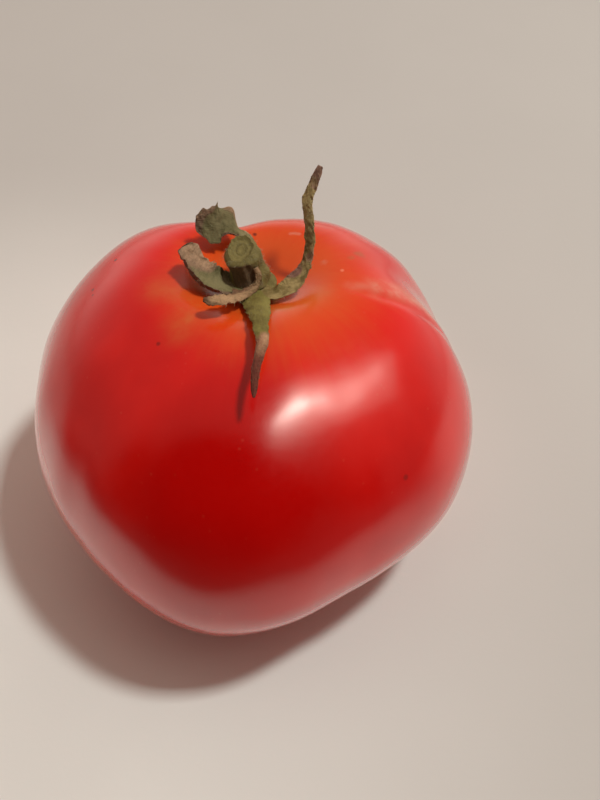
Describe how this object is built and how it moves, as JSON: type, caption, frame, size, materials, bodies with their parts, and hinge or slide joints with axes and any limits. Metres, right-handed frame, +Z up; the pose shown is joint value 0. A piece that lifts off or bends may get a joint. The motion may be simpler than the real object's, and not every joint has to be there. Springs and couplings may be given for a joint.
{
  "type": "tomato",
  "caption": "Ripe, lightly ribbed tomato with its dried calyx and a cut stalk in the stem pit, resting on a small flat spot at its blossom end.",
  "frame": {"origin": "middle of the small flat spot at the blossom end that the fruit rests on", "axes": "+Z up through the crown, +X across the fruit's widest way, +Y towards the side that the stem pit is nearer to"},
  "size_m": [0.0822, 0.0736, 0.0724],
  "materials": {
    "tomato_skin": "smooth waxy skin, clear red going orange round the stem pit",
    "calyx_green": "dull olive green, drying brown at the margins and tips"
  },
  "bodies": {
    "root": {"fruit": "tomato_skin", "calyx": "calyx_green"}
  },
  "joints": []
}
